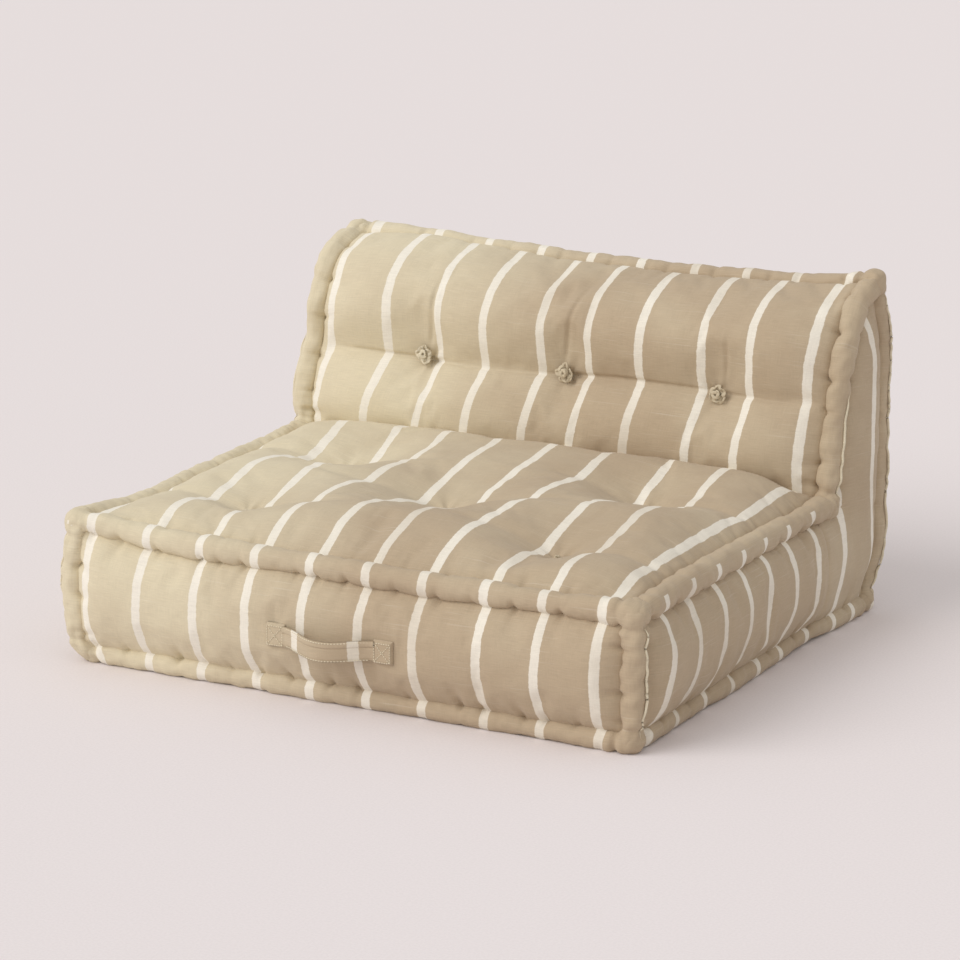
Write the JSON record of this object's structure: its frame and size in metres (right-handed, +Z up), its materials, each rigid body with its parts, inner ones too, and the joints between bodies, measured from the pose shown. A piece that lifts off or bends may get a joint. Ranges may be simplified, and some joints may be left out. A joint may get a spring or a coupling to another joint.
{
  "type": "modular floor sofa",
  "caption": "Low armless floor sofa module: a stuffed L-shaped seat and back in striped cloth, with rolled borders, sewn tufts, cloth rosettes and a carrying strap.",
  "frame": {"origin": "on the floor, midway between the side rolls and between the front and rear rolls", "axes": "+Z up, front towards -Y, X across the width"},
  "size_m": [1.0472, 1.0309, 0.581],
  "materials": {
    "striped_cloth": "matte",
    "base_cloth": "matte",
    "rosette_cloth": "matte",
    "thread": "matte",
    "felt": "matte",
    "tufting_cord": "matte",
    "wadding": "matte"
  },
  "bodies": {
    "body": {"back_cord_left": "tufting_cord", "back_cord_middle": "tufting_cord", "back_cord_right": "tufting_cord", "back_filling": "wadding", "back_rosette_left": "rosette_cloth", "back_rosette_middle": "rosette_cloth", "back_rosette_right": "rosette_cloth", "base_panel": "base_cloth", "front_base_roll": "striped_cloth", "front_left_roll": "striped_cloth", "front_panel": "striped_cloth", "front_right_roll": "striped_cloth", "front_top_roll": "striped_cloth", "handle_end_left": "striped_cloth", "handle_end_right": "striped_cloth", "handle_stitching_left": "thread", "handle_stitching_right": "thread", "left_back_roll": "striped_cloth", "left_back_side_panel": "striped_cloth", "left_base_roll": "striped_cloth", "left_seat_roll": "striped_cloth", "left_seat_side_panel": "striped_cloth", "rear_base_roll": "striped_cloth", "rear_left_roll": "striped_cloth", "rear_panel": "striped_cloth", "rear_right_roll": "striped_cloth", "rear_rosette_left": "rosette_cloth", "rear_rosette_middle": "rosette_cloth", "rear_rosette_right": "rosette_cloth", "rear_top_roll": "striped_cloth", "right_back_roll": "striped_cloth", "right_back_side_panel": "striped_cloth", "right_base_roll": "striped_cloth", "right_seat_roll": "striped_cloth", "right_seat_side_panel": "striped_cloth", "seat_cord_front_left": "tufting_cord", "seat_cord_front_right": "tufting_cord", "seat_cord_middle": "tufting_cord", "seat_cord_rear_left": "tufting_cord", "seat_cord_rear_right": "tufting_cord", "seat_filling": "wadding", "seat_tuft_front_left": "rosette_cloth", "seat_tuft_front_right": "rosette_cloth", "seat_tuft_middle": "rosette_cloth", "seat_tuft_rear_left": "rosette_cloth", "seat_tuft_rear_right": "rosette_cloth", "seat_washer_front_left": "felt", "seat_washer_front_right": "felt", "seat_washer_middle": "felt", "seat_washer_rear_left": "felt", "seat_washer_rear_right": "felt", "top_panel": "striped_cloth"},
    "strap": {"handle_strap": "striped_cloth"}
  },
  "joints": [
    {"name": "strap_lift", "type": "hinge", "parent": "body", "child": "strap", "pos_m": [0, -0.4988, 0.1265], "axis": [-1, 0, 0], "range_deg": [0, 75]}
  ]
}
